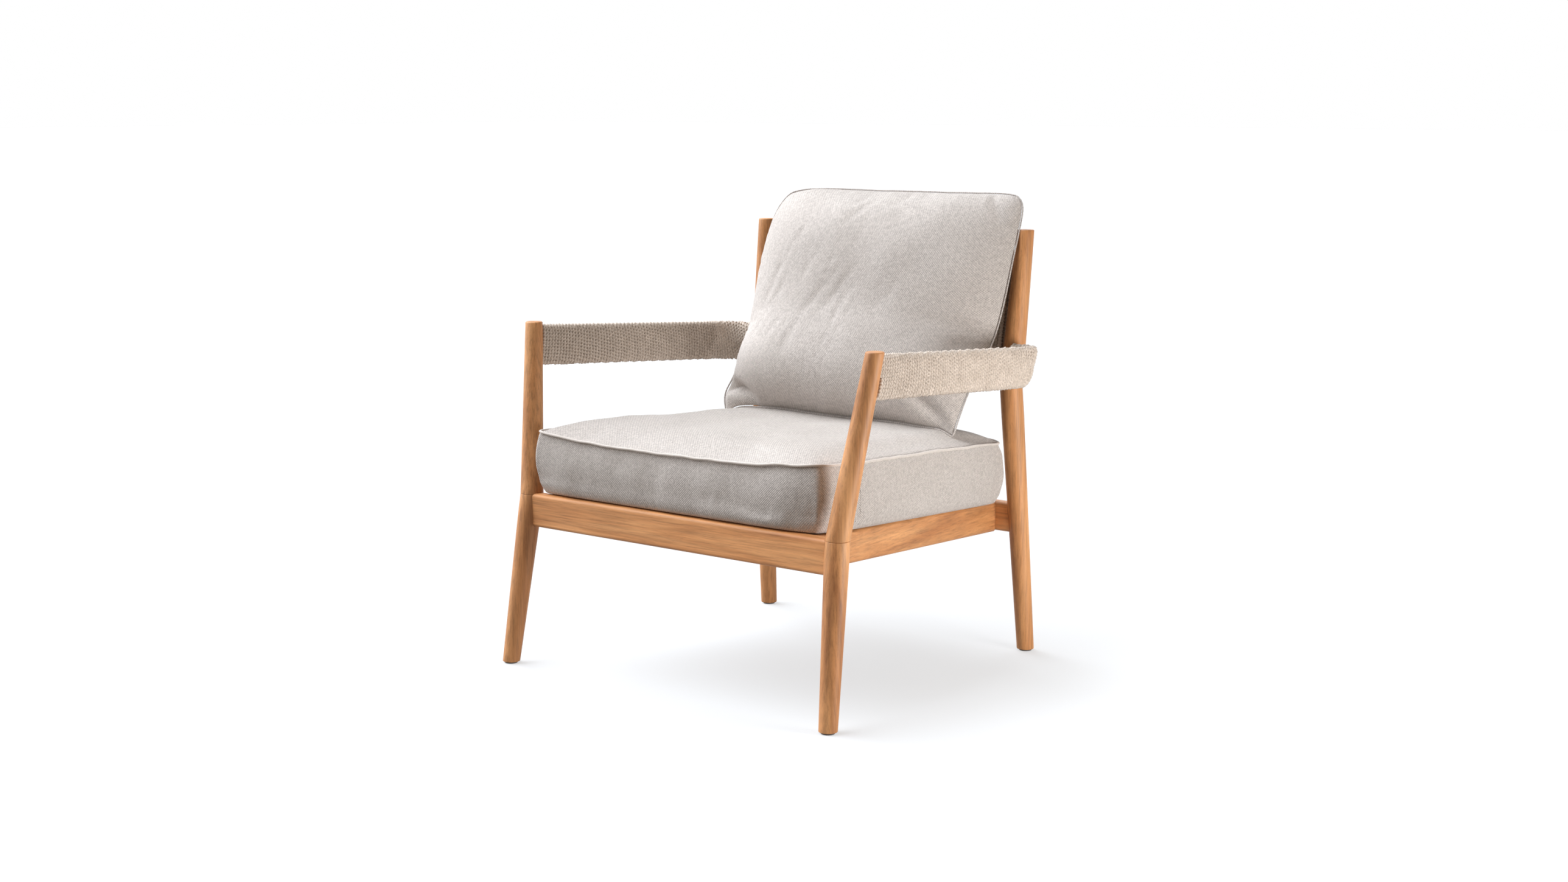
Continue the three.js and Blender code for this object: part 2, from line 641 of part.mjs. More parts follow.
function addArms() {
  const screws = ARM_SCREWS.offsets.map((offset) => armScrew(offset, GAP));
  const frontPost = legTool(FRONT_LEG, frontPostRadius, WINDING_GAP);
  const rearPost = legTool(REAR_LEG, rearPostRadius, WINDING_GAP);
  const coreHole = armBar(ARM_CORE, GAP);
  addPair('arm_core', cut(armBar(ARM_CORE), rearPost, ...screws), METAL, 0.45, 0.9);
  addPair('arm_winding', cut(armBar(WINDING), coreHole, frontPost, rearPost, ...screws), ROPE_COLOUR, 0.9);
  ARM_SCREWS.offsets.forEach((offset, i) => {
    addPair(`arm_screw_${i + 1}`, armScrew(offset), METAL, 0.4, 0.9);
  });
}

function addCushions() {
  addPart('seat_cushion_cover', seatCover(), FABRIC, 0.95);
  addPart('seat_cushion_foam', seatBlock(COVER + GAP), FOAM, 1);
  addPart('seat_cushion_piping', seatPiping(), FABRIC, 0.95);
  addPart('back_cushion_cover', backCover(), FABRIC, 0.95);
  addPart('back_cushion_filling', backBlock(COVER + GAP), FOAM, 1);
}

addLegs();
addSeatFrame();
addSlats();
addBack();
addArms();
addCushions();

export default armchair;
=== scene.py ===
import math

import bpy
import numpy as np
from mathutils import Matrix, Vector, noise
from mathutils.bvhtree import BVHTree


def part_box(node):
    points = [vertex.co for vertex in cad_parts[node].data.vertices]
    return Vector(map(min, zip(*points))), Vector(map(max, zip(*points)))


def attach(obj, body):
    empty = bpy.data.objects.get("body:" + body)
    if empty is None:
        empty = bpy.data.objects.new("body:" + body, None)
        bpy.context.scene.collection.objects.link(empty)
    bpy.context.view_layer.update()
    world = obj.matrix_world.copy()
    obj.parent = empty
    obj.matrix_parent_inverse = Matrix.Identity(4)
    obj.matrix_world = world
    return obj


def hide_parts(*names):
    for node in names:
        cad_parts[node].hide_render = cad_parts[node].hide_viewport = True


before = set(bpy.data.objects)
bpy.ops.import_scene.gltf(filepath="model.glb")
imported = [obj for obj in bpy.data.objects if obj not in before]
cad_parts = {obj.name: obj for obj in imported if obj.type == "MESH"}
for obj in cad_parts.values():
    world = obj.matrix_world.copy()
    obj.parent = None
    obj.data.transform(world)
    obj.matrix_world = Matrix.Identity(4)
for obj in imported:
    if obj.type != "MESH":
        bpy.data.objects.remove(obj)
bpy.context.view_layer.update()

# ---- Dimensions, in metres ----
# The legs, arms and rails match the CAD. The *_CELLS, *_SIDES and *_RINGS are mesh counts.

# Foot, knee and tip of the middle lines of the legs on the right side.
FRONT_LEG = [
    Vector((0.352, -0.322, 0)),
    Vector((0.3366, -0.2794, 0.297)),
    Vector((0.3722, -0.2326, 0.591)),
]
REAR_LEG = [
    Vector((0.2975, 0.322, 0)),
    Vector((0.2829, 0.2844, 0.483)),
    Vector((0.2919, 0.3096, 0.751)),
]
FOOT_RADIUS, KNEE_RADIUS, TIP_RADIUS = 0.0152, 0.020, 0.015
FOOT_ROUND, KNEE_ROUND, TIP_ROUND = 0.0012, 0.0007, 0.0022
LEG_SIDES, END_RINGS, SHAFT_RINGS = 48, 5, 24
BACK_LEAN = (REAR_LEG[2].y - REAR_LEG[1].y) / (REAR_LEG[2].z - REAR_LEG[1].z)

ROPE_RADIUS = 0.0035
ROPE_PITCH = 0.0068                 # from one turn of rope to the next
TWIST_LENGTH = 0.0115               # along the rope, for one turn of its two plies
TWIST_DEPTH = 0.30
ROPE_SIDES = 6
ROPE_STEP = 0.0017

ARM_TOP, ARM_SLOPE, ARM_HEIGHT, ARM_THICKNESS = 0.587, -0.0632, 0.072, 0.022
ARM_START = Vector((0.3672, -0.2195))
ARM_BEND_START = Vector((0.346, 0.227))
ARM_BEND_RADIUS = 0.038
ARM_END_X = 0.284
FLARE_START, FLARE_FULL, FLARE_OUTWARD = 0.165, 0.262, 0.3

BACK_ROPE_HALF_LOW, BACK_ROPE_HALF_HIGH = 0.2585, 0.2705
BACK_ROPE_HALF_DEPTH, BACK_ROPE_SETBACK = 0.0116, 0.008

SIDE_TOP_FRONT = Vector((-0.2635, 0.2982))        # y and z of the side rail's top edge
SIDE_TOP_SLOPE = (0.2682 - 0.2982) / (0.2897 + 0.2635)
SEAT_FRONT, SEAT_REAR = -0.296, 0.285
SEAT_HALF_FRONT, SEAT_HALF_REAR = 0.316, 0.283
SEAT_EDGE, SEAT_CROWN = 0.110, 0.020
SEAT_LIFT = 0.080
SEAT_CELLS = (72, 70, 13)

BACK_SEAM = [(0.152, 0.411), (0.184, 0.480), (0.240, 0.566), (0.285, 0.705), (0.319, 0.803)]
BACK_HALF = 0.281
BACK_RISE_FRONT, BACK_RISE_REAR = 0.068, 0.006
BACK_LEAN_RIGHT, BACK_TOP_LIFT = 0.012, 0.009
BACK_CELLS = (84, 70)

# Gaps that keep the cushions clear of the legs and of each other.
LEG_CLEARANCE, CUSHION_GAP = 0.0012, 0.0012


def lerp(a, b, t):
    return a + (b - a) * t


def smoothstep(x, low, high):
    t = min(1, max(0, (x - low) / (high - low)))
    return t * t * (3 - 2 * t)


def bell(x, width):
    return math.exp(-(x / width) ** 2)


def seat_base(y):
    """Height of the seat cushion's underside."""
    return SIDE_TOP_FRONT.y + SIDE_TOP_SLOPE * (y - SIDE_TOP_FRONT.x) + 0.0012


# ---- Node helpers ----

class Tree:
    """A new material's nodes, with short calls for making and linking them."""

    def __init__(self, name, colour, roughness, **shader):
        self.material = bpy.data.materials.new(name)
        self.material.use_nodes = True
        self.nodes = self.material.node_tree.nodes
        self.links = self.material.node_tree.links
        self.shader = self.nodes["Principled BSDF"]
        self.shader.inputs["Base Color"].default_value = (*colour, 1)
        self.shader.inputs["Roughness"].default_value = roughness
        for key, value in shader.items():
            self.shader.inputs[key.replace("_", " ")].default_value = value
        self.position = self.add("ShaderNodeTexCoord").outputs["Object"]

    def add(self, kind, **settings):
        node = self.nodes.new(kind)
        for key, value in settings.items():
            if hasattr(node, key):
                setattr(node, key, value)
            else:
                node.inputs[key.replace("_", " ")].default_value = value
        return node

    def link(self, output, target):
        self.links.new(output, target)

    def stretched(self, scale):
        mapping = self.add("ShaderNodeMapping", Scale=scale)
        self.link(self.position, mapping.inputs["Vector"])
        return mapping.outputs["Vector"]

    def noise(self, scale, detail=3, roughness=0.5, stretch=(1, 1, 1), distortion=0):
        node = self.add("ShaderNodeTexNoise", Scale=scale, Detail=detail, Roughness=roughness)
        node.inputs["Distortion"].default_value = distortion
        self.link(self.stretched(stretch), node.inputs["Vector"])
        return node.outputs["Fac"]

    def ramp(self, value, *stops):
        node = self.add("ShaderNodeValToRGB")
        elements = node.color_ramp.elements
        while len(elements) < len(stops):
            elements.new(0.5)
        for element, (place, colour) in zip(elements, stops):
            element.position = place
            element.color = (*colour, 1)
        self.link(value, node.inputs["Fac"])
        return node.outputs["Color"]

    def mix(self, a, b, factor, blend="MULTIPLY"):
        node = self.add("ShaderNodeMix", data_type="RGBA", blend_type=blend)
        for socket, value in ((node.inputs[0], factor), (node.inputs[6], a), (node.inputs[7], b)):
            if isinstance(value, (int, float)):
                socket.default_value = value
            elif isinstance(value, tuple):
                socket.default_value = (*value, 1)
            else:
                self.link(value, socket)
        return node.outputs[2]

    def math(self, operation, a, b=0):
        node = self.add("ShaderNodeMath", operation=operation)
        values = (a, b, 0.5) if operation == "MULTIPLY_ADD" else (a, b)
        for socket, value in zip(node.inputs, values):
            if isinstance(value, (int, float)):
                socket.default_value = value
            else:
                self.link(value, socket)
        return node.outputs[0]

    def colour(self, output):
        self.link(output, self.shader.inputs["Base Color"])

    def rough(self, value, low, high):
        node = self.add("ShaderNodeMapRange", To_Min=low, To_Max=high)
        self.link(value, node.inputs["Value"])
        self.link(node.outputs["Result"], self.shader.inputs["Roughness"])

    def bump(self, height, distance, strength=1.0):
        node = self.add("ShaderNodeBump", Distance=distance, Strength=strength)
        self.link(height, node.inputs["Height"])
        self.link(node.outputs["Normal"], self.shader.inputs["Normal"])


def grey(value):
    return (value, value, value)


def teak(name, axis, brightness=1.0, open_grain=1.0):
    """Straight-grained oiled teak, with the grain along one axis. The colour is scaled by the brightness
    given, which for the frame's copies is painted light.
    """
    along = [1.0, 1.0, 1.0]
    along["XYZ".index(axis)] = 0.035
    slow = [1.0, 1.0, 1.0]
    slow["XYZ".index(axis)] = 0.09
    tree = Tree(name, (0.5, 0.25, 0.11), 0.5, Specular_IOR_Level=0.35)
    shade = tree.noise(34, 4, 0.55, slow, 0.6)
    base = tree.ramp(
        shade,
        (0.28, (0.38 * brightness, 0.150 * brightness, 0.050 * brightness)),
        (0.47, (0.54 * brightness, 0.240 * brightness, 0.088 * brightness)),
        (0.72, (0.70 * brightness, 0.350 * brightness, 0.145 * brightness)),
    )
    streaks = tree.noise(330, 5, 0.62, along)
    lines = tree.ramp(streaks, (0.34, grey(0.62)), (0.5, grey(0.95)), (0.7, grey(1.12)))
    bands = tree.ramp(tree.noise(95, 2, 0.5, along), (0.35, grey(0.82)), (0.6, grey(1.06)))
    pores = tree.ramp(tree.noise(1500, 2, 0.5, along), (0.30, grey(0.45)), (0.42, grey(1)))
    tinted = tree.mix(base, lines, 0.75 * open_grain)
    banded = tree.mix(tinted, bands, 0.8)
    tree.colour(tree.mix(banded, pores, 0.35 * open_grain))
    tree.rough(streaks, 0.42, 0.62)
    tree.bump(tree.math("ADD", streaks, tree.math("MULTIPLY", pores, 0.4)), 0.0004, 0.35)
    return tree.material


def weave_height(tree, period):
    """Crossing yarns on whichever plane a surface mostly faces, from 0 to 1."""
    place = tree.add("ShaderNodeSeparateXYZ")
    tree.link(tree.position, place.inputs[0])
    turns = 2 * math.pi / period
    waves = [tree.math("SINE", tree.math("MULTIPLY", out, turns)) for out in place.outputs]
    facing = tree.add("ShaderNodeSeparateXYZ")
    tree.link(tree.add("ShaderNodeNewGeometry").outputs["Normal"], facing.inputs[0])
    total = None
    for axis in range(3):
        first, second = [n for n in range(3) if n != axis]
        weight = tree.math("POWER", tree.math("ABSOLUTE", facing.outputs[axis]), 3)
        part = tree.math("MULTIPLY", tree.math("MULTIPLY", waves[first], waves[second]), weight)
        total = part if total is None else tree.math("ADD", total, part)
    return tree.math("MULTIPLY_ADD", total, 0.5)


def cloth(name, colour, period=0.0040, contrast=0.10, sheen=0.1):
    """A small basket weave with flecked yarns. Its hollows are darkened with painted shade, and its high
    points faintly lightened with a painted highlight.
    """
    tree = Tree(name, colour, 0.92, Sheen_Weight=sheen, Sheen_Roughness=0.45, Specular_IOR_Level=0.2)
    weave = weave_height(tree, period)
    yarn = tree.noise(900, 3, 0.6)
    fleck = tree.noise(230, 3, 0.6)
    cloudy = tree.noise(9, 3, 0.5)
    yarns = tree.ramp(yarn, (0.3, grey(1 - 1.5 * contrast)), (0.7, grey(1 + contrast)))
    flecks = tree.ramp(fleck, (0.35, grey(1 - 0.8 * contrast)), (0.62, grey(1.02)))
    # Painted shade in the hollows between yarns, and a faint painted highlight on their tops, both taken
    # from the weave's height.
    threads = tree.ramp(weave, (0.08, grey(1 - 2.2 * contrast)), (0.5, grey(1.0)), (0.9, grey(1.05)))
    clouds = tree.ramp(cloudy, (0.3, (0.955, 0.95, 0.945)), (0.7, grey(1.0)))
    shade = tree.mix(colour, yarns, 0.9)
    for layer in (flecks, threads, clouds):
        shade = tree.mix(shade, layer, 1.0)
    tree.colour(shade)
    tree.rough(fleck, 0.86, 0.97)
    tree.bump(tree.math("ADD", weave, tree.math("MULTIPLY", yarn, 0.5)), 0.0007, 0.6)
    return tree.material


def cord(name, colour):
    """Twisted cotton-like cord: flecked fibres, darker in places."""
    tree = Tree(name, colour, 0.9, Sheen_Weight=0.1, Sheen_Roughness=0.5, Specular_IOR_Level=0.2)
    fibre = tree.noise(360, 4, 0.7)
    patch = tree.noise(60, 3, 0.5)
    shade = tree.mix(colour, tree.ramp(fibre, (0.32, grey(0.58)), (0.66, grey(1.16))), 0.9)
    shade = tree.mix(shade, tree.ramp(patch, (0.3, (0.90, 0.885, 0.87)), (0.7, grey(1.04))), 1.0)
    tree.colour(shade)
    tree.rough(fibre, 0.82, 0.97)
    tree.bump(fibre, 0.0005, 0.6)
    return tree.material


def plain(name, colour, roughness, grain, metallic=0.0):
    """Moulded nylon or drawn metal, faintly worn."""
    tree = Tree(name, colour, roughness, Metallic=metallic)
    wear = tree.noise(grain, 3, 0.6)
    tree.colour(tree.mix(colour, tree.ramp(wear, (0.3, grey(0.78)), (0.7, grey(1.1))), 0.8))
    tree.rough(wear, roughness - 0.08, roughness + 0.12)
    tree.bump(wear, 0.0001, 0.3)
    return tree.material


# Lit and shaded copies of the teak, one for each grain direction. Each copy's brightness is painted light:
# it stands in for how the light falls on its pieces. The rails and back rails, grain along x, are painted
# much lighter.
TEAK_PAINTED_LIGHT = {"X": 1.20, "Y": 0.98, "Z": 1.01}
TEAK = {axis: teak(f"teak_grain_{axis.lower()}", axis, brightness) for axis, brightness in TEAK_PAINTED_LIGHT.items()}
INNER = {axis: teak(f"inner_wood_grain_{axis.lower()}", axis, 1.12, 0.6) for axis in "XYZ"}
FABRIC = cloth("cover_fabric", (0.63, 0.578, 0.540), contrast=0.24)
PIPING = cloth("piping_fabric", (0.72, 0.66, 0.61), 0.0016, 0.07)
THREAD = cloth("seam_thread", (0.30, 0.27, 0.245), 0.0008, 0.12)
ROPE = cord("rope_cord", (0.67, 0.58, 0.50))
STEEL = plain("steel", (0.55, 0.55, 0.56), 0.35, 900, 1.0)
BAR_METAL = plain("bar_metal", (0.30, 0.30, 0.31), 0.5, 500, 1.0)
NYLON = plain("nylon", (0.06, 0.058, 0.055), 0.55, 700)
ZIP = plain("zip_nylon", (0.36, 0.33, 0.30), 0.55, 700)


# ---- Mesh helpers ----

def mesh_object(name, verts, faces, material, body, replaced=()):
    """A smooth piece that rides on a body, in place of the CAD nodes replaced."""
    mesh = bpy.data.meshes.new(name)
    mesh.from_pydata([tuple(v) for v in verts], [], [tuple(int(i) for i in f) for f in faces])
    mesh.validate()
    mesh.shade_smooth()
    mesh.materials.append(material)
    obj = bpy.data.objects.new(name, mesh)
    bpy.context.scene.collection.objects.link(obj)
    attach(obj, body)
    if replaced:
        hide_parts(*replaced)
    return obj


def tube_faces(count, sides, closed):
    """Faces between rings of points, with two end caps unless the tube is closed on itself."""
    faces = []
    for i in range(count if closed else count - 1):
        a, b = i * sides, (i + 1) % count * sides
        for j in range(sides):
            k = (j + 1) % sides
            faces.append((a + j, a + k, b + k, b + j))
    if not closed:
        faces.append(tuple(range(sides))[::-1])
        faces.append(tuple((count - 1) * sides + j for j in range(sides)))
    return faces


def tube_points(points, radius, sides, reference, closed, lobes=0.0, pitch=1.0):
    """Rings of points round a path. lobes and pitch make it a twisted two-ply cord."""
    if closed:
        tangents = np.roll(points, -1, 0) - np.roll(points, 1, 0)
    else:
        tangents = np.gradient(points, axis=0)
    tangents /= np.linalg.norm(tangents, axis=1)[:, None]
    normals = np.cross(tangents, reference)
    normals /= np.linalg.norm(normals, axis=1)[:, None]
    binormals = np.cross(tangents, normals)
    steps = np.linalg.norm(np.diff(points, axis=0), axis=1)
    twist = 2 * math.pi * np.concatenate([[0], np.cumsum(steps)]) / pitch
    angles = np.arange(sides) * 2 * math.pi / sides
    ring_angles = angles[None, :] + (twist[:, None] if lobes else 0)
    radii = radius * (1 + lobes * np.cos(2 * angles))[None, :] * np.ones(len(points))[:, None]
    across = (radii * np.cos(ring_angles))[:, :, None] * normals[:, None, :]
    up = (radii * np.sin(ring_angles))[:, :, None] * binormals[:, None, :]
    return (points[:, None, :] + across + up).reshape(-1, 3)


def mirrored(points):
    return points * np.array([-1, 1, 1])


# ---- Turned legs ----

def leg_ring(start, end, radius, z, inset):
    """A level ring of points round a leg, inset from its surface."""
    t = (z - start.z) / (end.z - start.z)
    centre = start.lerp(end, t)
    reach = radius(t) - inset
    return [
        (centre.x + reach * math.cos(a), centre.y + reach * math.sin(a), z)
        for a in (2 * math.pi * i / LEG_SIDES for i in range(LEG_SIDES))
    ]


def turned(node, start, end, radius, low_round, high_round):
    """A turned piece from start to end, with rounded ends, in place of a CAD node."""
    low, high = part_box(node)
    quarter = [math.pi / 2 * i / END_RINGS for i in range(END_RINGS + 1)]
    bottom, top = low.z + low_round, high.z - high_round
    rows = [(bottom - low_round * math.cos(a), low_round * (1 - math.sin(a))) for a in quarter]
    rows += [(lerp(bottom, top, i / SHAFT_RINGS), 0) for i in range(1, SHAFT_RINGS)]
    rows += [(top + high_round * math.sin(a), high_round * (1 - math.cos(a))) for a in quarter]
    rings = [leg_ring(start, end, radius, z, inset) for z, inset in rows]
    points = np.array(rings).reshape(-1, 3)
    faces = tube_faces(len(rings), LEG_SIDES, False)
    if low.x < 0:
        points = mirrored(points)
        faces = [face[::-1] for face in faces]
    obj = mesh_object(f"turned_{node}", points, faces, TEAK["Z"], "frame", (node,))
    obj.data.set_sharp_from_angle(angle=math.radians(50))


def leg_radius(t):
    """Full thickness is reached a little below the knee."""
    return lerp(FOOT_RADIUS, KNEE_RADIUS, min(1, 1.15 * t))


def front_post_radius(t):
    return lerp(KNEE_RADIUS, TIP_RADIUS, t)


def rear_post_radius(t):
    return lerp(KNEE_RADIUS, TIP_RADIUS, max(0, t) ** 1.3)


LEGS = {"front": (FRONT_LEG, front_post_radius), "rear": (REAR_LEG, rear_post_radius)}
for side in ("right", "left"):
    for end, ((foot, knee, tip), post_radius) in LEGS.items():
        turned(f"{end}_leg_{side}", foot, knee, leg_radius, FOOT_ROUND, KNEE_ROUND)
        turned(f"{end}_post_{side}", knee, tip, post_radius, KNEE_ROUND, TIP_ROUND)


# ---- Rope-wound arms ----

def arm_top(y):
    return ARM_TOP + ARM_SLOPE * (y - FRONT_LEG[2].y)


def arm_plan(distance):
    """Point and direction of the arm's middle line, seen from above, at a distance from its front."""
    straight = (ARM_BEND_START - ARM_START).length
    bend = ARM_BEND_RADIUS * math.pi / 2
    if distance < straight:
        along = (ARM_BEND_START - ARM_START).normalized()
        return ARM_START + along * distance, along
    if distance < straight + bend:
        a = (distance - straight) / ARM_BEND_RADIUS
        centre = ARM_BEND_START - Vector((ARM_BEND_RADIUS, 0))
        outside, along = Vector((math.cos(a), math.sin(a))), Vector((-math.sin(a), math.cos(a)))
        return centre + ARM_BEND_RADIUS * outside, along
    rest = distance - straight - bend
    return ARM_BEND_START + Vector((-ARM_BEND_RADIUS - rest, ARM_BEND_RADIUS)), Vector((-1, 0))


def arm_length():
    straight = (ARM_BEND_START - ARM_START).length
    return straight + ARM_BEND_RADIUS * math.pi / 2 + ARM_BEND_START.x - ARM_BEND_RADIUS - ARM_END_X


def loop_section(half_width, half_height, squareness):
    """A closed rounded section, with its points evenly spaced."""
    angles = np.linspace(0, 2 * math.pi, 721)
    power = 2 / squareness
    across = half_width * np.sign(np.cos(angles)) * np.abs(np.cos(angles)) ** power
    up = half_height * np.sign(np.sin(angles)) * np.abs(np.sin(angles)) ** power
    lengths = np.concatenate([[0], np.cumsum(np.hypot(np.diff(across), np.diff(up)))])
    count = max(24, round(lengths[-1] / ROPE_STEP))
    places = np.linspace(0, lengths[-1], count, endpoint=False)
    return np.interp(places, lengths, across), np.interp(places, lengths, up)


def arm_rope():
    """The winding's middle line, and at each point the direction of the arm."""
    across, up = loop_section(ARM_THICKNESS / 2 - ROPE_RADIUS, ARM_HEIGHT / 2 - ROPE_RADIUS, 2.7)
    count = len(across)
    length = arm_length()
    turns = round(length / ROPE_PITCH)
    lean = (FRONT_LEG[2].y - FRONT_LEG[1].y) / (FRONT_LEG[2].z - FRONT_LEG[1].z)
    points, reference = [], []
    for i in range(turns * count):
        point, along = arm_plan(length * i / (turns * count))
        loose = 1 + 0.022 * noise.noise(Vector((i / count * 0.9, 3.0, 1.0)))
        side, z = across[i % count] * loose, up[i % count] * loose
        flare = smoothstep(point.y, FLARE_START, FLARE_FULL) * z
        if z < 0:
            flare *= abs(2 * z / ARM_HEIGHT) ** 0.8
        follow = (1 - smoothstep(point.y, ARM_START.y, ARM_START.y + 0.2)) * lean * (z - ARM_HEIGHT / 2)
        points.append((
            point.x + along.y * side + FLARE_OUTWARD * flare,
            point.y - along.x * side + BACK_LEAN * flare + follow,
            arm_top(point.y) - ARM_HEIGHT / 2 + z,
        ))
        reference.append((along.x, along.y, 0))
    return np.array(points), np.array(reference)


def wound(name, points, reference, replaced):
    rings = tube_points(points, ROPE_RADIUS, ROPE_SIDES, reference, False, TWIST_DEPTH, TWIST_LENGTH)
    faces = tube_faces(len(points), ROPE_SIDES, False)
    return mesh_object(name, rings, faces, ROPE, "frame", replaced)


rope_points, rope_reference = arm_rope()
wound("arm_rope_right", rope_points, rope_reference, ("arm_winding_right",))
wound("arm_rope_left", mirrored(rope_points), mirrored(rope_reference), ("arm_winding_left",))


# ---- Rope back ----

def back_rope():
    """The winding's middle line over both back rails, and the direction that it advances in."""
    low_z, high_z = (corner.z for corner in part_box("back_rope_front"))
    middle_z = (low_z + high_z) / 2
    across, up = loop_section(BACK_ROPE_HALF_DEPTH, (high_z - low_z) / 2 - ROPE_RADIUS, 9)
    count = len(across)
    turns = round(2 * BACK_ROPE_HALF_LOW / ROPE_PITCH)
    start_y = REAR_LEG[1].y + BACK_LEAN * (low_z - REAR_LEG[1].z) + BACK_ROPE_SETBACK
    steps = np.arange(turns * count)
    z = middle_z + np.take(up, steps % count)
    half = lerp(BACK_ROPE_HALF_LOW, BACK_ROPE_HALF_HIGH, (z - low_z) / (high_z - low_z)) - ROPE_RADIUS
    x = half * (2 * steps / (turns * count) - 1)
    y = start_y + BACK_LEAN * (z - low_z) + np.take(across, steps % count)
    points = np.stack([x, y, z], 1)
    return points, np.tile((1.0, 0.0, 0.0), (len(points), 1))


wound("back_rope", *back_rope(), ("back_rope_front", "back_rope_rear"))


# ---- Cloth simulation ----

def inflate(obj, pinned, pressure, caps, frames=20):
    """Swells a closed mesh as cloth. No point moves further than about its own cap."""
    scene = bpy.context.scene
    group = obj.vertex_groups.new(name="pin")
    group.add(pinned, 1.0, "REPLACE")
    modifier = obj.modifiers.new("cloth", "CLOTH")
    settings = modifier.settings
    settings.quality = 6
    settings.mass = 0.25
    settings.tension_stiffness = 18
    settings.compression_stiffness = 14
    settings.shear_stiffness = 6
    settings.bending_stiffness = 1.5
    settings.use_pressure = True
    settings.uniform_pressure_force = pressure
    settings.vertex_group_mass = "pin"
    settings.effector_weights.gravity = 0
    modifier.collision_settings.use_collision = False
    modifier.point_cache.frame_end = frames
    rest = [v.co.copy() for v in obj.data.vertices]
    for number in range(1, frames + 1):
        scene.frame_set(number)
    graph = bpy.context.evaluated_depsgraph_get()
    swollen = [v.co.copy() for v in obj.evaluated_get(graph).data.vertices]
    obj.modifiers.remove(modifier)
    obj.vertex_groups.remove(group)
    for vertex, old, new, cap in zip(obj.data.vertices, rest, swollen, caps):
        move = new - old
        if move.length > 1e-7:
            vertex.co = old + move.normalized() * cap * math.tanh(move.length / cap)
    scene.frame_set(1)


def subdivide(obj):
    """One level of subdivision, applied."""
    modifier = obj.modifiers.new("smooth", "SUBSURF")
    modifier.levels = modifier.render_levels = 1
    graph = bpy.context.evaluated_depsgraph_get()
    smooth = bpy.data.meshes.new_from_object(obj.evaluated_get(graph))
    obj.modifiers.remove(modifier)
    obj.data = smooth
    obj.data.shade_smooth()


def leg_clearance(point, lift=0.0, clear=LEG_CLEARANCE):
    """Moves a point of a cushion out of the legs and posts, at rest and anywhere up to a lift."""
    side = 1 if point.x > 0 else -1
    for (foot, knee, tip), post_radius in LEGS.values():
        for rise in (0.0, lift / 2, lift):
            z = point.z + rise
            if z < knee.z:
                t = (z - foot.z) / (knee.z - foot.z)
                centre, radius = foot.lerp(knee, t), leg_radius(t)
            elif z < tip.z:
                t = (z - knee.z) / (tip.z - knee.z)
                centre, radius = knee.lerp(tip, t), post_radius(t)
            else:
                continue
            gap = Vector((point.x - centre.x * side, point.y - centre.y, 0))
            if gap.length < radius + clear:
                point += gap.normalized() * (radius + clear - gap.length)
    return point


# ---- Seat cushion ----

SEAT_BELLY, SEAT_LOW_ROUND, SEAT_SHRINK = 0.0085, 0.009, 0.0015
# How far each corner is drawn in, as a share of the half width or depth.
FRONT_RIGHT_PULL, FRONT_LEFT_PULL = 0.058, 0.012
REAR_SIDE_PULL, REAR_END_PULL = 0.012, 0.055
FRONT_SAG = 0.013
SIDE_SEAM_Y, SIDE_SEAM_DEPTH, SIDE_SEAM_WIDTH = -0.190, 0.0022, 0.007
PIPING_RADIUS, PIPING_CLEARANCE = 0.0023, 0.0085


def seat_point(i, j, k):
    """Surface point of the seat cushion from its lattice place."""
    u, v, w = 2 * i / SEAT_CELLS[0] - 1, 2 * j / SEAT_CELLS[1] - 1, k / SEAT_CELLS[2]
    if v < 0:
        pull = FRONT_RIGHT_PULL if u > 0 else FRONT_LEFT_PULL
        side_pull, end_pull = pull * abs(v) ** 7, pull * abs(u) ** 8
    else:
        side_pull, end_pull = REAR_SIDE_PULL * abs(v) ** 10, REAR_END_PULL * abs(u) ** 12
    belly = SEAT_BELLY * math.sin(math.pi * w) ** 0.8
    swell = belly - SEAT_LOW_ROUND * (1 - w) ** 5 - SEAT_SHRINK
    half_width = lerp(SEAT_HALF_FRONT, SEAT_HALF_REAR, (v + 1) / 2) + swell
    half_depth = (SEAT_REAR - SEAT_FRONT) / 2 + swell
    x = u * half_width * (1 - side_pull)
    y = (SEAT_FRONT + SEAT_REAR) / 2 + v * half_depth * (1 - end_pull)
    sag = FRONT_SAG * (1 - u ** 2) * ((1 - v) / 2) ** 3
    crown = SEAT_CROWN * (1 - abs(u) ** 8) * (1 - abs(v) ** 8)
    return Vector((x, y, seat_base(y) + w * (SEAT_EDGE - sag + crown)))


def from_border(i, j, cells):
    """How many cells a lattice place is from the nearest side."""
    return min(i, j, cells[0] - i, cells[1] - j)


def seat_cap(i, j, k):
    """How far a point of the seat cushion may swell."""
    near_piping = k == SEAT_CELLS[2] and from_border(i, j, SEAT_CELLS) < 2
    return 0.0025 if k <= 2 or near_piping else 0.007


def lattice_box(cells, place):
    """The surface of a box lattice as vertices, quads and the place of each vertex."""
    index, keys, faces = {}, [], []

    def vertex(key):
        if key not in index:
            index[key] = len(keys)
            keys.append(key)
        return index[key]

    for axis in range(3):
        a, b = [n for n in range(3) if n != axis]
        for end in (0, cells[axis]):
            for p in range(cells[a]):
                for q in range(cells[b]):
                    corners = []
                    for da, db in ((0, 0), (1, 0), (1, 1), (0, 1)):
                        key = [0, 0, 0]
                        key[axis], key[a], key[b] = end, p + da, q + db
                        corners.append(vertex(tuple(key)))
                    flip = (end == 0) != (axis == 1)
                    faces.append(corners[::-1] if flip else corners)
    return [place(*key) for key in keys], faces, keys


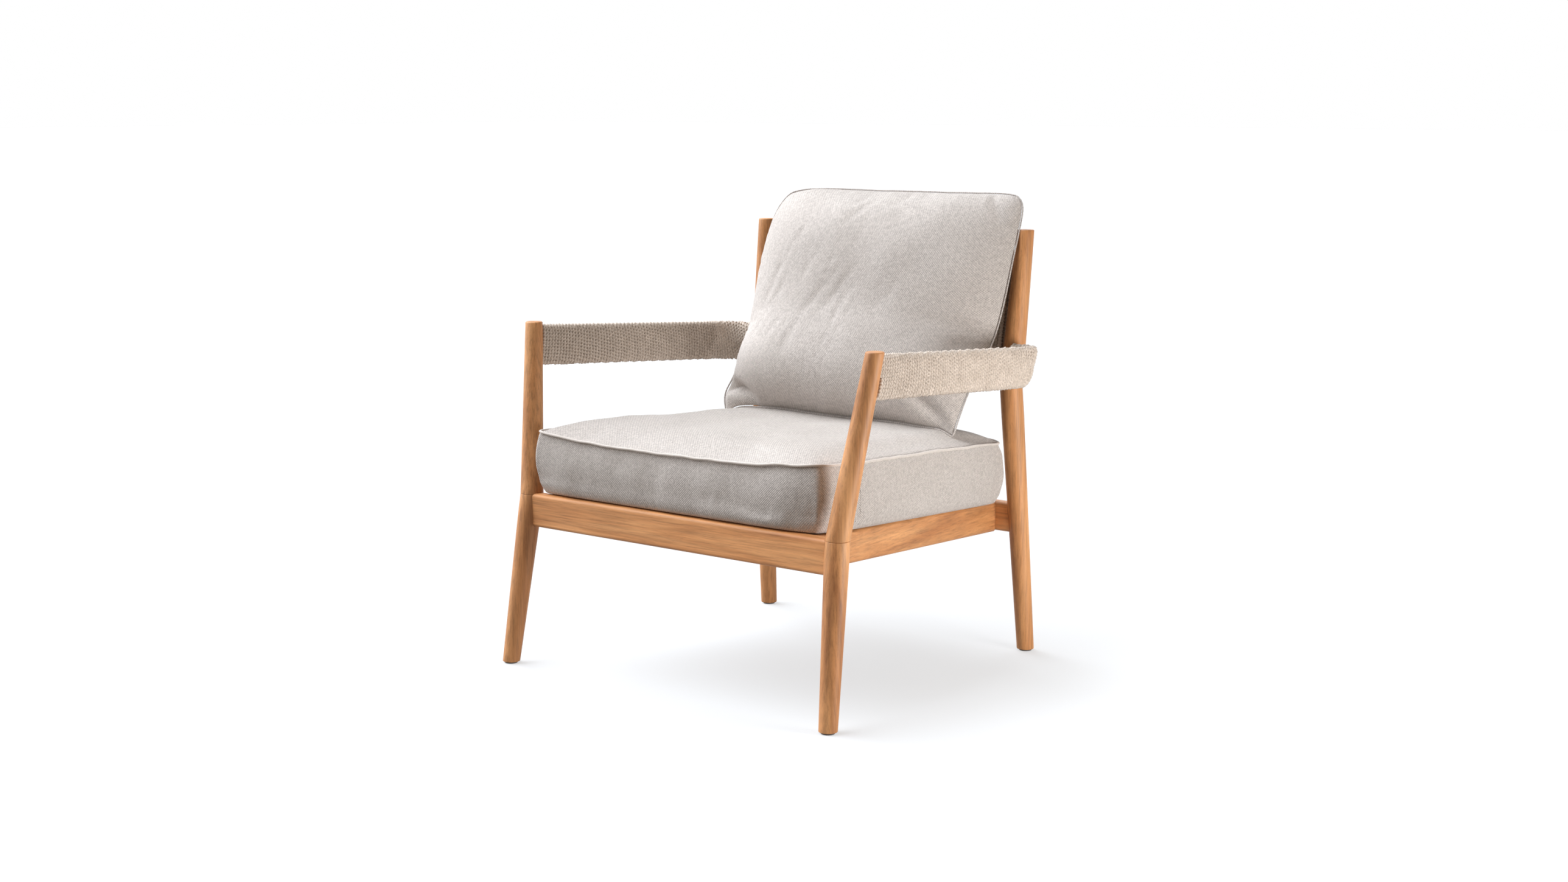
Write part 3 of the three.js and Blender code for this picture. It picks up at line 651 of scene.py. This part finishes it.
def border_ring(n, m):
    """Lattice places round the border of a sheet of n by m cells, in order."""
    ring = [(i, 0) for i in range(n)] + [(n, j) for j in range(m)]
    return ring + [(i, m) for i in range(n, 0, -1)] + [(0, j) for j in range(m, 0, -1)]


def seat_rim(keys):
    """Numbers of the vertices round the top edge, in order."""
    numbers = {key: number for number, key in enumerate(keys)}
    return [numbers[i, j, SEAT_CELLS[2]] for i, j in border_ring(*SEAT_CELLS[:2])]


def crease(across, along):
    """Soft creases in cloth: 1 in the middle of a crease, 0 away from it, fading in and out along it."""
    ridge = 1 - abs(noise.noise(Vector((across, along, 4.0)))) * 5
    fade = max(0, noise.noise(Vector((across * 0.5 + 7, along * 1.6, 11.0))) + 0.15) * 2
    return max(0, ridge) ** 2 * min(1, fade)


verts, faces, keys = lattice_box(SEAT_CELLS, seat_point)
seat = mesh_object("seat_cushion", verts, faces, FABRIC, "seat_cushion",
                   ("seat_cushion_cover", "seat_cushion_foam"))
flat_bottom = [n for n, (i, j, k) in enumerate(keys) if k == 0]
inflate(seat, flat_bottom, 3.0, [seat_cap(*key) for key in keys])
rim = seat_rim(keys)
for number in rim:
    point = seat.data.vertices[number].co
    point -= Vector((point.x, point.y, 0)).normalized() * 0.002
for vertex, (i, j, k) in zip(seat.data.vertices, keys):
    w = k / SEAT_CELLS[2]
    point = vertex.co
    if from_border(i, j, SEAT_CELLS) == 0 and 0 < k < SEAT_CELLS[2]:
        across = point.x if j in (0, SEAT_CELLS[1]) else point.y
        soft = noise.noise(Vector((across * 20, point.z * 5, 0.3))) * 0.0030
        tight = crease(across * 34 + 2 * point.z, point.z * 8) * 0.0026
        on_side = i in (0, SEAT_CELLS[0])
        seam = SIDE_SEAM_DEPTH * bell(point.y - SIDE_SEAM_Y, SIDE_SEAM_WIDTH) if on_side else 0
        fade = math.sin(math.pi * min(1, w + 0.08)) ** 0.5
        point += vertex.normal * (soft - tight - seam) * fade
    elif k == SEAT_CELLS[2]:
        point.z += noise.noise(Vector((point.x * 11, point.y * 11, 1.5))) * 0.0035
        point.z += noise.noise(Vector((point.x * 34, point.y * 34, 7.5))) * 0.0008
    point.z = max(point.z, seat_base(point.y) + 0.0003)
    near_top = k > SEAT_CELLS[2] - 2
    vertex.co = leg_clearance(point, SEAT_LIFT, PIPING_CLEARANCE if near_top else LEG_CLEARANCE)
rim_line = np.array([seat.data.vertices[n].co for n in rim])
subdivide(seat)


def outward(points):
    """Unit vectors away from the chair's middle line, level."""
    away = points.copy()
    away[:, 2] = 0
    return away / np.linalg.norm(away, axis=1)[:, None]


def smooth_loop(points, times):
    """A closed line of points, each drawn towards its two neighbours."""
    for _ in range(times):
        points = 0.5 * points + 0.25 * (np.roll(points, 1, 0) + np.roll(points, -1, 0))
    return points


def closed_cord(name, points, radius, sides, facing, material, body, replaced=()):
    """A cord on a closed line. facing is the direction that the loop's plane looks in."""
    rings = tube_points(points, radius, sides, np.tile(facing, (len(points), 1)), True)
    mesh_object(name, rings, tube_faces(len(points), sides, True), material, body, replaced)


rim_line = smooth_loop(rim_line, 2)
waves = np.array([noise.noise(Vector(point * 30)) for point in rim_line])
piping_line = rim_line + outward(rim_line) * 0.0024
piping_line[:, 2] += 0.0004 + waves * 0.0016
closed_cord("seat_cushion_piping_cord", piping_line, PIPING_RADIUS, 10, (0.0, 0.0, 1.0), PIPING,
            "seat_cushion", ("seat_cushion_piping",))


def surface_tree(obj):
    return BVHTree.FromPolygons([v.co for v in obj.data.vertices], [p.vertices for p in obj.data.polygons])


# ---- Back cushion ----

SEAM_STEPS, SEAM_RADIUS = 200, 0.0014


def catmull(points, t):
    """A smooth line through points, with t from 0 to 1 over the whole."""
    count = len(points) - 1
    place = min(t * count, count - 1e-6)
    n = int(place)
    f = place - n
    a, b, c, d = [Vector(points[max(0, min(count, n + step))]) for step in (-1, 0, 1, 2)]
    square, cube = 2 * a - 5 * b + 4 * c - d, 3 * b - a - 3 * c + d
    return 0.5 * (2 * b + (c - a) * f + square * f ** 2 + cube * f ** 3)


SEAM_SAMPLES = [catmull(BACK_SEAM, n / SEAM_STEPS) for n in range(SEAM_STEPS + 1)]
SEAM_LENGTHS = [0.0]
for a, b in zip(SEAM_SAMPLES, SEAM_SAMPLES[1:]):
    SEAM_LENGTHS.append(SEAM_LENGTHS[-1] + (b - a).length)


def seam_at(along):
    """y, z and direction of the back cushion's middle line, for along from 0 to 1."""
    target = along * SEAM_LENGTHS[-1]
    past = next((n for n, length in enumerate(SEAM_LENGTHS) if length > target), SEAM_STEPS)
    n = min(SEAM_STEPS - 1, max(0, past - 1))
    a, b = SEAM_SAMPLES[n], SEAM_SAMPLES[n + 1]
    f = (target - SEAM_LENGTHS[n]) / (SEAM_LENGTHS[n + 1] - SEAM_LENGTHS[n])
    return a.lerp(b, f), (b - a).normalized()


# Start, end, depth and width of the soft folds on the front, in the cushion's own u and v.
FOLDS = (
    ((0.02, 0.26), (-0.14, -0.16), 0.0018, 0.028),
    ((-0.14, 0.20), (-0.32, -0.26), 0.0016, 0.030),
    ((0.00, 0.90), (-0.16, 0.62), 0.0018, 0.026),
    ((-0.64, 0.22), (-0.72, -0.12), 0.0016, 0.024),
    ((-0.50, -0.30), (-0.58, -0.52), 0.0012, 0.022),
    ((-1.02, -0.78), (-0.70, -0.95), 0.0260, 0.040),
    ((0.60, -0.72), (0.95, -0.97), 0.0140, 0.045),
    ((0.80, 0.98), (0.93, 0.70), 0.0050, 0.035),
)


def fold_depth(u, v):
    """How deep the folds are at a place on the front."""
    total = 0
    for start, end, depth, width in FOLDS:
        line, place = Vector(end) - Vector(start), Vector((u, v)) - Vector(start)
        t = max(0, min(1, place.dot(line) / line.length_squared))
        gap = (place - line * t).length
        fade = math.sin(math.pi * (0.12 + 0.76 * t))
        total += depth * fade * bell(gap, width)
    return total


def back_uv(i, j):
    return 2 * i / BACK_CELLS[0] - 1, 2 * j / BACK_CELLS[1] - 1


def back_half(u, v):
    """Half width at height v, on the side of u. The top corners are round and the lower left bulges."""
    half = BACK_HALF - 0.030 * ((1 - v) / 2) ** 3 - 0.003 * ((1 + v) / 2) ** 4
    if u < 0:
        half += 0.016 * bell(v + 0.88, 0.13)
        return half * (1 - 0.115 * max(0, v) ** 7)
    half += 0.004 * ((1 - v) / 2) ** 6
    return half * (1 - 0.060 * max(0, v) ** 20)


def back_point(i, j, side):
    """Point of the front (side 1) or rear (side -1) sheet of the back cushion."""
    u, v = back_uv(i, j)
    up = seam_at((v + 1) / 2)[1]
    drop = (0.060 * abs(u) ** 7 if u < 0 else 0.024 * abs(u) ** 14) * max(0, v) ** 2
    middle = seam_at((v * (1 - drop) + 1) / 2)[0]
    over = (1 - abs(v) ** 3.4) ** 0.65 if v > 0 else (1 - abs(v) ** 3.2) ** 0.6
    fullness = (1 - abs(u) ** 2.6) ** 0.66 * over
    rise = (BACK_RISE_FRONT + 0.008 * bell(v + 0.5, 0.6)) if side > 0 else -BACK_RISE_REAR
    y = middle.x - up.y * rise * fullness
    z = middle.y + up.x * rise * fullness + BACK_TOP_LIFT * ((1 + v) / 2) ** 5
    return Vector((u * back_half(u, v) + BACK_LEAN_RIGHT * (v + 1) / 2, y, z))


def pillow():
    """Both sheets, joined at the seam: vertices, quads, lattice places, and vertex numbers by place."""
    n, m = BACK_CELLS
    verts, keys, index = [], [], {}
    for side in (1, -1):
        for i in range(n + 1):
            for j in range(m + 1):
                edge = i in (0, n) or j in (0, m)
                if side < 0 and edge:
                    index[side, i, j] = index[1, i, j]
                    continue
                index[side, i, j] = len(verts)
                verts.append(back_point(i, j, side))
                keys.append((i, j, 0 if edge else side))
    faces = []
    for side in (1, -1):
        for i in range(n):
            for j in range(m):
                corners = ((i, j), (i + 1, j), (i + 1, j + 1), (i, j + 1))
                quad = [index[side, a, b] for a, b in corners]
                faces.append(quad if side > 0 else quad[::-1])
    return verts, faces, keys, index


verts, faces, keys, index = pillow()
back = mesh_object("back_cushion", verts, faces, FABRIC, "back_cushion",
                   ("back_cushion_cover", "back_cushion_filling"))


def leans_on_rope(i, j, side):
    u, v = back_uv(i, j)
    return side < 0 and abs(u) < 0.75 and abs(v) < 0.8


def back_cap(i, j, side):
    """How far a point of the back cushion may swell: little at the seam and the rear."""
    u, v = back_uv(i, j)
    if side < 0:
        return 0.0015
    return 0.004 + 0.020 * side * (1 - u ** 4) * (1 - v ** 4)


held = [number for number, key in enumerate(keys) if leans_on_rope(*key)]
inflate(back, held, 3.5, [back_cap(*key) for key in keys])
normals = [v.normal.copy() for v in back.data.vertices]
for vertex, normal, (i, j, side) in zip(back.data.vertices, normals, keys):
    u, v = back_uv(i, j)
    point = vertex.co
    if side > 0:
        point -= normal * fold_depth(u, v)
        point += normal * noise.noise(Vector((point.x * 13, point.z * 13, 2.5))) * 0.0035
        edge = min(1 - abs(u), 1 - abs(v))
        pucker = noise.noise(Vector((u * 24, v * 24, 9.0))) * 0.0024 * bell(edge - 0.06, 0.07)
        middle = bell(u + 0.25, 0.55) * bell(v, 0.7)
        drape = crease(point.x * 44 - point.z * 12, point.z * 6 + point.x * 2) * 0.0036 * middle
        point += normal * (pucker - drape)
    vertex.co = leg_clearance(point)


def height_below(tree, point):
    """Height of a surface straight above or below a point."""
    return tree.ray_cast(Vector((point.x, point.y, 1)), Vector((0, 0, -1)))[0].z


def rest_on_seat(tree, clear=CUSHION_GAP):
    """Brings the cushion's bottom seam on to the seat, and keeps the rest of it above the seat."""
    for i in range(BACK_CELLS[0] + 1):
        foot = back.data.vertices[index[1, i, 0]].co
        drop = foot.z - height_below(tree, foot) - clear
        for side in (1, -1):
            for j in range(BACK_CELLS[1] + 1):
                if side < 0 and from_border(i, j, BACK_CELLS) == 0:
                    continue
                point = back.data.vertices[index[side, i, j]].co
                point.z -= drop * (1 - j / BACK_CELLS[1]) ** 8
                if j < BACK_CELLS[1] // 3:
                    point.z = max(point.z, height_below(tree, point) + clear)


seat_tree = surface_tree(seat)
rest_on_seat(seat_tree)
seam_line = np.array([back.data.vertices[index[1, i, j]].co for i, j in border_ring(*BACK_CELLS)])
subdivide(back)
closed_cord("back_cushion_seam", smooth_loop(seam_line, 1), SEAM_RADIUS, 8, (0.0, -0.94, 0.33), FABRIC,
            "back_cushion")


# ---- Stitches and zips ----

STITCH_RINGS, STITCH_SIDES = 5, 6


def stitches(name, path, step, length, radius, tree, material, body):
    """Short threads lying along a path on a surface. length is their share of a step."""
    verts, faces = [], []
    for number in range(int(1 / step)):
        ends = [path(number * step), path(number * step + length * step)]
        hits = [tree.find_nearest(end) for end in ends]
        middle = (hits[0][0] + hits[1][0]) / 2
        normal = hits[0][1]
        along = (hits[1][0] - hits[0][0]).normalized()
        across = normal.cross(along)
        reach = (hits[1][0] - hits[0][0]).length / 2
        start = len(verts)
        for ring in range(STITCH_RINGS):
            a = math.pi * (ring / (STITCH_RINGS - 1) - 0.5)
            for corner in range(STITCH_SIDES):
                b = 2 * math.pi * corner / STITCH_SIDES
                width = radius * (0.25 + 0.75 * math.cos(a))
                verts.append(middle + along * reach * math.sin(a) + across * width * math.cos(b)
                             + normal * width * math.sin(b))
        faces += [tuple(start + n for n in face) for face in tube_faces(STITCH_RINGS, STITCH_SIDES, False)]
    mesh_object(name, verts, faces, material, body)


for side, label in ((1, "right"), (-1, "left")):
    stitches(
        f"seat_side_stitches_{label}",
        lambda t: Vector((side * 0.34, -0.196 + 0.010 * math.sin(math.pi * t), lerp(0.400, 0.306, t))),
        1 / 30, 0.6, 0.0006, seat_tree, THREAD, "seat_cushion",
    )


BLOCK_FACES = ((2, 3, 1, 0), (5, 7, 6, 4), (1, 5, 4, 0), (6, 7, 3, 2), (4, 6, 2, 0), (3, 7, 5, 1))
TOOTH_PITCH, TOOTH_STAGGER = 0.0026, 0.0004
SEAT_ZIP_HALF, BACK_ZIP_HALF = 0.19, 0.17
BACK_ZIP_PLACE = 0.06        # along the back cushion's middle line, from its foot


def zip_row(name, centre, half, up, out, body):
    """A closed zip: a flat tape with interlocking teeth and a slider with a pull."""
    verts, faces = [], []

    def block(middle, sx, sz, depth):
        start = len(verts)
        for dx in (-sx, sx):
            for dz in (-sz, sz):
                for dy in (-depth, depth):
                    verts.append(middle + Vector((dx, 0, 0)) + up * dz + out * dy)
        for face in BLOCK_FACES:
            faces.append(tuple(start + n for n in face))

    def at(x, depth, rise=0.0):
        return centre + Vector((x, 0, 0)) + out * depth + up * rise

    block(centre, half, 0.0042, 0.0006)
    for n in range(int(half * 2 / TOOTH_PITCH)):
        rise = TOOTH_STAGGER if n % 2 else -TOOTH_STAGGER
        block(at(-half + TOOTH_PITCH * (n + 0.5), 0.0009, rise), 0.0009, 0.0016, 0.0006)
    block(at(half - 0.012, 0.002), 0.0045, 0.0032, 0.0013)
    block(at(half - 0.026, 0.003), 0.0110, 0.0020, 0.0006)
    obj = mesh_object(name, verts, faces, ZIP, body)
    obj.data.shade_flat()


zip_y = max(v.co.y for v in seat.data.vertices if abs(v.co.x) < SEAT_ZIP_HALF)
zip_centre = Vector((0, zip_y - 0.0008, seat_base(SEAT_REAR) + SEAT_EDGE * 0.5))
zip_row("seat_cushion_zip", zip_centre, SEAT_ZIP_HALF, Vector((0, 0, 1)), Vector((0, 1, 0)), "seat_cushion")
low_point, low_up = seam_at(BACK_ZIP_PLACE)
back_up, back_out = Vector((0, low_up.x, low_up.y)), Vector((0, low_up.y, -low_up.x))
behind = Vector((0, low_point.x, low_point.y)) + back_out * 0.03
zip_centre = surface_tree(back).find_nearest(behind)[0] + back_out * 0.0002
zip_row("back_cushion_zip", zip_centre, BACK_ZIP_HALF, back_up, back_out, "back_cushion")


# ---- Materials of the carried-over pieces ----

FINISHES = (
    ("front_rail", TEAK["X"]), ("rear_rail", TEAK["X"]), ("side_rail", TEAK["Y"]), ("back_", TEAK["X"]),
    ("cleat_screw", STEEL), ("arm_screw", STEEL), ("cleat", INNER["Y"]), ("corner_block", INNER["Z"]),
    ("seat_slat", INNER["X"]), ("front_knee", INNER["Z"]), ("rear_knee", INNER["Z"]),
    ("arm_core", BAR_METAL), ("front_foot", NYLON), ("rear_foot", NYLON),
)
for node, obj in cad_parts.items():
    finish = next((material for start, material in FINISHES if node.startswith(start)), FABRIC)
    if not obj.material_slots:
        obj.data.materials.append(finish)
    for place in obj.material_slots:
        place.material = finish
    if finish is not NYLON:
        obj.data.shade_smooth()
        obj.data.set_sharp_from_angle(angle=math.radians(38))


# ---- Floor, light and camera ----

FLOOR_REACH = 60
DAYLIGHT = (0.95, 1.0, 1.06)
FILL_GLOW = (0.270, 0.232, 0.200, 1)
WHITE = (1, 1, 1, 1)


def floor():
    """A sheet of pale paper that glows a little, so that it stays white where it is lit."""
    mesh = bpy.data.meshes.new("floor")
    corners = [(x * FLOOR_REACH, y * FLOOR_REACH, 0) for x, y in ((-1, -1), (1, -1), (1, 1), (-1, 1))]
    mesh.from_pydata(corners, [], [(0, 1, 2, 3)])
    tree = Tree("floor_paper", grey(0.27), 0.9, Emission_Color=WHITE, Emission_Strength=0.560)
    tree.colour(tree.ramp(tree.noise(3, 2), (0.3, (0.260, 0.270, 0.280)), (0.7, (0.265, 0.275, 0.285))))
    mesh.materials.append(tree.material)
    obj = bpy.data.objects.new("floor", mesh)
    bpy.context.scene.collection.objects.link(obj)
    obj.visible_diffuse = False


def sun_light(name, towards, strength, softness):
    """A far, soft light that comes from the direction towards; softness is its width in degrees."""
    light = bpy.data.lights.new(name, "SUN")
    light.angle = math.radians(softness)
    light.energy = strength
    light.color = DAYLIGHT
    obj = bpy.data.objects.new(name, light)
    obj.rotation_euler = Vector(towards).to_track_quat("Z", "Y").to_euler()
    bpy.context.scene.collection.objects.link(obj)


def soft_box(name, place, target, width, watts):
    """A square light near the chair, turned to a target."""
    light = bpy.data.lights.new(name, "AREA")
    light.size = width
    light.energy = watts
    obj = bpy.data.objects.new(name, light)
    obj.location = place
    obj.rotation_euler = (target - place).to_track_quat("-Z", "Y").to_euler()
    obj.visible_camera = False
    bpy.context.scene.collection.objects.link(obj)


def studio_world():
    """White behind the chair, but a dimmer and warmer light on it."""
    world = bpy.data.worlds.new("studio")
    world.use_nodes = True
    nodes, links = world.node_tree.nodes, world.node_tree.links
    glow = nodes.new("ShaderNodeMix")
    glow.data_type = "RGBA"
    glow.inputs[6].default_value = FILL_GLOW
    glow.inputs[7].default_value = WHITE
    links.new(nodes.new("ShaderNodeLightPath").outputs["Is Camera Ray"], glow.inputs[0])
    links.new(glow.outputs[2], nodes["Background"].inputs["Color"])
    bpy.context.scene.world = world


floor()
studio_world()
bpy.context.scene.view_settings.view_transform = "Standard"
sun_light("key", (-0.69, -0.20, 0.72), 6.5, 75)
sun_light("rear", (-0.25, 0.92, 0.30), 1.2, 60)
soft_box("right", Vector((1.42, 0.10, 0.30)), Vector((0.30, 0.05, 0.30)), 0.50, 14.5)

camera = bpy.data.cameras.new("camera")
camera.lens = 51.34
camera.sensor_width = 36
camera_object = bpy.data.objects.new("camera", camera)
camera_object.location = (2.42494, -2.97919, 0.97959)
camera_object.rotation_euler = (math.radians(90 - 8.7579), 0, math.radians(39.1217))
bpy.context.scene.collection.objects.link(camera_object)
bpy.context.scene.camera = camera_object
